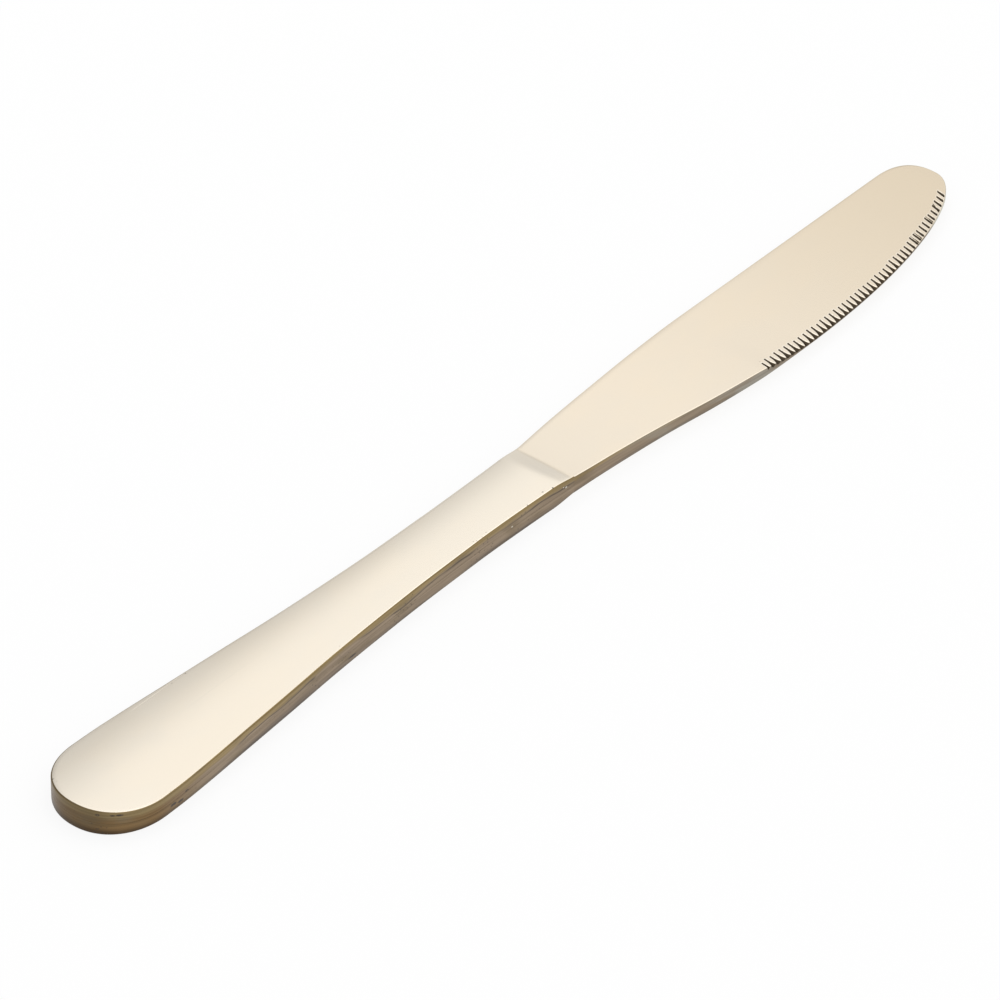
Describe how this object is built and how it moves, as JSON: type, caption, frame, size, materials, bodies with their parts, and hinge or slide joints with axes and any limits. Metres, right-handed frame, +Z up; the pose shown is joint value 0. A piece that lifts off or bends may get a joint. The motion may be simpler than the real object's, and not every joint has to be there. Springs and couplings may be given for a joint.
{
  "type": "table knife",
  "caption": "Slim hollow-handled table knife: flat rounded handle with a narrow waist, soft shoulder, and a broad round-nosed blade with fine ground teeth along its belly.",
  "frame": {"origin": "on the handle's flat underside, on the long middle line, below the middle of the handle", "axes": "+X from the butt to the tip, +Y to the spine, -Y to the cutting edge, +Z up; the knife lies on its side as in the picture"},
  "size_m": [0.2296, 0.0224, 0.005],
  "materials": {
    "blade_steel": "polished, champagne gold coating",
    "handle_steel": "polished, champagne gold coating",
    "braze": "dressed flush and coated with the handle",
    "filler": "cast cement, hidden"
  },
  "bodies": {
    "root": {"blade": "blade_steel", "handle_shell_upper": "handle_steel", "handle_shell_lower": "handle_steel", "seam_braze": "braze", "handle_filler": "filler"}
  },
  "joints": []
}
